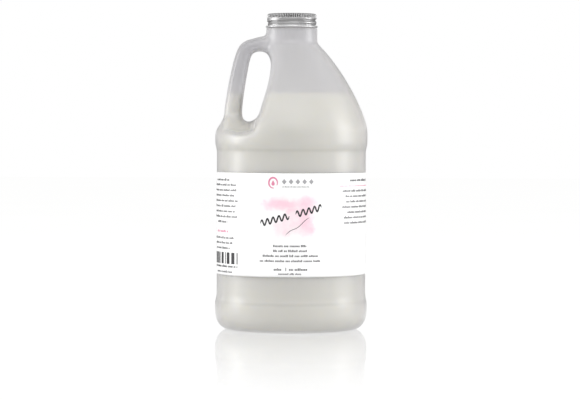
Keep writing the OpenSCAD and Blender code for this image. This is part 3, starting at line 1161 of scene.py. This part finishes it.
def add_to_scene(data, place):
    """A camera or a lamp as an object of the same name, at its place in the scene."""
    obj = bpy.data.objects.new(data.name, data)
    bpy.context.scene.collection.objects.link(obj)
    obj.location = place
    return obj


def facing(place, aim):
    """The turn that points an object's -Z from its place at its aim, with Y up."""
    return (aim - Vector(place)).to_track_quat("-Z", "Y")


def add_camera():
    data = bpy.data.cameras.new("camera")
    data.sensor_width = 36.0
    data.lens = 156.7
    data.clip_end = 50.0
    camera = add_to_scene(data, CAMERA_PLACE)
    level = facing(CAMERA_PLACE, CAMERA_AIM)
    camera.rotation_euler = (level @ Quaternion((0, 0, 1), CAMERA_ROLL)).to_euler()
    bpy.context.scene.camera = camera


def add_softbox(name, place, width, height, power):
    data = bpy.data.lights.new(name, "AREA")
    data.shape = "RECTANGLE"
    data.size = width
    data.size_y = height
    data.energy = power
    add_to_scene(data, place).rotation_euler = facing(place, LAMP_AIM).to_euler()


def add_world():
    """White straight to the camera and in the gloss from behind, and a softer grey as a light."""
    net = Nodes(bpy.data.worlds.new("studio"), "OutputWorld")
    _, back, up = net.place("Generated")
    strip = net.times(
        net.ramp(up, *STRIP_START), net.ramp(up, *STRIP_END, 1, 0),
        net.ramp(back, *STRIP_BACK),
    )
    sides = net.ramp(back, *GLOSS_TURN, *GLOSS_TONES)
    overhead = net.ramp(up, *TOP_TURN, 0.0, GLOSS_TOP)
    mirrored = net.math("MAXIMUM", sides, overhead, strip)
    fill = net.ramp(back, *ROOM_TURN, *ROOM_TONES)
    path = net.add("LightPath").outputs
    straight = net.math("LESS_THAN", path["Transparent Depth"], 0.5)
    seen = net.times(path["Is Camera Ray"], straight)
    gloss = path["Is Glossy Ray"]
    other = net.math("SUBTRACT", 1.0, net.math("ADD", seen, gloss))
    strength = net.math("ADD", seen, net.times(gloss, mirrored), net.times(other, fill))
    light = net.add("Background", {"Color": WHITE, "Strength": strength})
    bpy.context.scene.world = net.finish(light)


def floor_material():
    """A white light table with a faint gloss that fades away from the object."""
    net = material_nodes("pale_floor")
    far = net.add("VectorMath", {0: net.add("TexCoord").outputs["Object"]}, operation="LENGTH")
    far = far.outputs["Value"]
    path = net.add("LightPath").outputs
    shade = net.math(
        "MAXIMUM", net.ramp(far, *FAR_FADE, 0.0, FAR_SHADE), net.ramp(far, *NEAR_FADE, NEAR_SHADE, 0.0),
    )
    held_back = net.math(
        "MAXIMUM", net.times(path["Is Glossy Ray"], shade),
        net.times(path["Is Diffuse Ray"], MATT_SHADE),
    )
    glow = net.add("Emission", {
        "Color": net.mix(net.noise(3, 2.0), WHITE, rgb(0.99, 0.99, 0.985)),
        "Strength": net.times(FLOOR_GLOW, net.math("SUBTRACT", 1.0, held_back)),
    })
    gloss = net.add("BsdfGlossy", {"Color": WHITE, "Roughness": 0.05})
    fresnel = net.add("Fresnel", {"IOR": 1.15}).outputs[0]
    sheen = net.times(fresnel, net.ramp(far, *SHEEN_FADE, 1.0, SHEEN_LEAST))
    return net.finish(net.blend(sheen, glow, gloss))


def add_floor():
    corners = [(x * FLOOR_HALF, y * FLOOR_HALF, 0) for x, y in ((-1, -1), (1, -1), (1, 1), (-1, 1))]
    floor = new_object("floor", corners, [(0, 1, 2, 3)], smooth=False)
    floor.data.materials.append(floor_material())


bpy.context.scene.view_settings.view_transform = "Standard"
add_camera()
add_world()
add_floor()
for softbox in SOFTBOXES:
    add_softbox(*softbox)


# ---- pieces
def add_piece(obj, body, slot, material, *nodes):
    """Gives a piece its material and its body, and hides the CAD nodes it stands for. The slot is not
    used.
    """
    obj.data.materials.clear()
    obj.data.materials.append(material)
    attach(obj, body)
    if nodes:
        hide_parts(*nodes)


# Grid steps in mm of the jug's outside, its inside and the liquid
jug_out, jug_in, liquid_step = ((1.4, 2.4, 2.0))

add_piece(build_jug(jug_out * MM, jug_in * MM), "jug", "jug", jug_material(), "jug")
add_piece(build_liquid(liquid_step * MM), "jug", "liquid", liquid_material(), "liquid_contents")
add_piece(build_cap(), "cap", "cap_metal", metal_material(), "cap_shell")
add_piece(build_label(), "jug", "label", label_material(), "label")

grey_ink = ink_material("grey_ink", rgb(0.13, 0.13, 0.135), rgb(0.09, 0.09, 0.095))
dark_ink = ink_material("dark_ink", rgb(0.035, 0.035, 0.04), rgb(0.02, 0.02, 0.022))
light_ink = ink_material("light_ink", rgb(0.40, 0.40, 0.41), rgb(0.33, 0.33, 0.34))
pink_ink = ink_material("pink_ink", rgb(0.74, 0.25, 0.38), rgb(0.66, 0.20, 0.33))
words, headings, pink_words = build_print()
for obj, ink in (
    (words, grey_ink),
    (headings, dark_ink),
    (pink_words, pink_ink),
    (build_stroke("label_stroke_1", -24.5, -1.5, 5), dark_ink),
    (build_stroke("label_stroke_2", 3.5, 24, 4.5), dark_ink),
    (build_sprig(), grey_ink),
    (build_emblem(), pink_ink),
    (build_drop(), pink_ink),
    (build_diamonds(), light_ink),
):
    add_piece(obj, "jug", "label", ink)

for node, material in (("liner_board", board_material()), ("liner_facing", facing_material())):
    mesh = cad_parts[node].data
    mesh.materials.clear()
    mesh.materials.append(material)
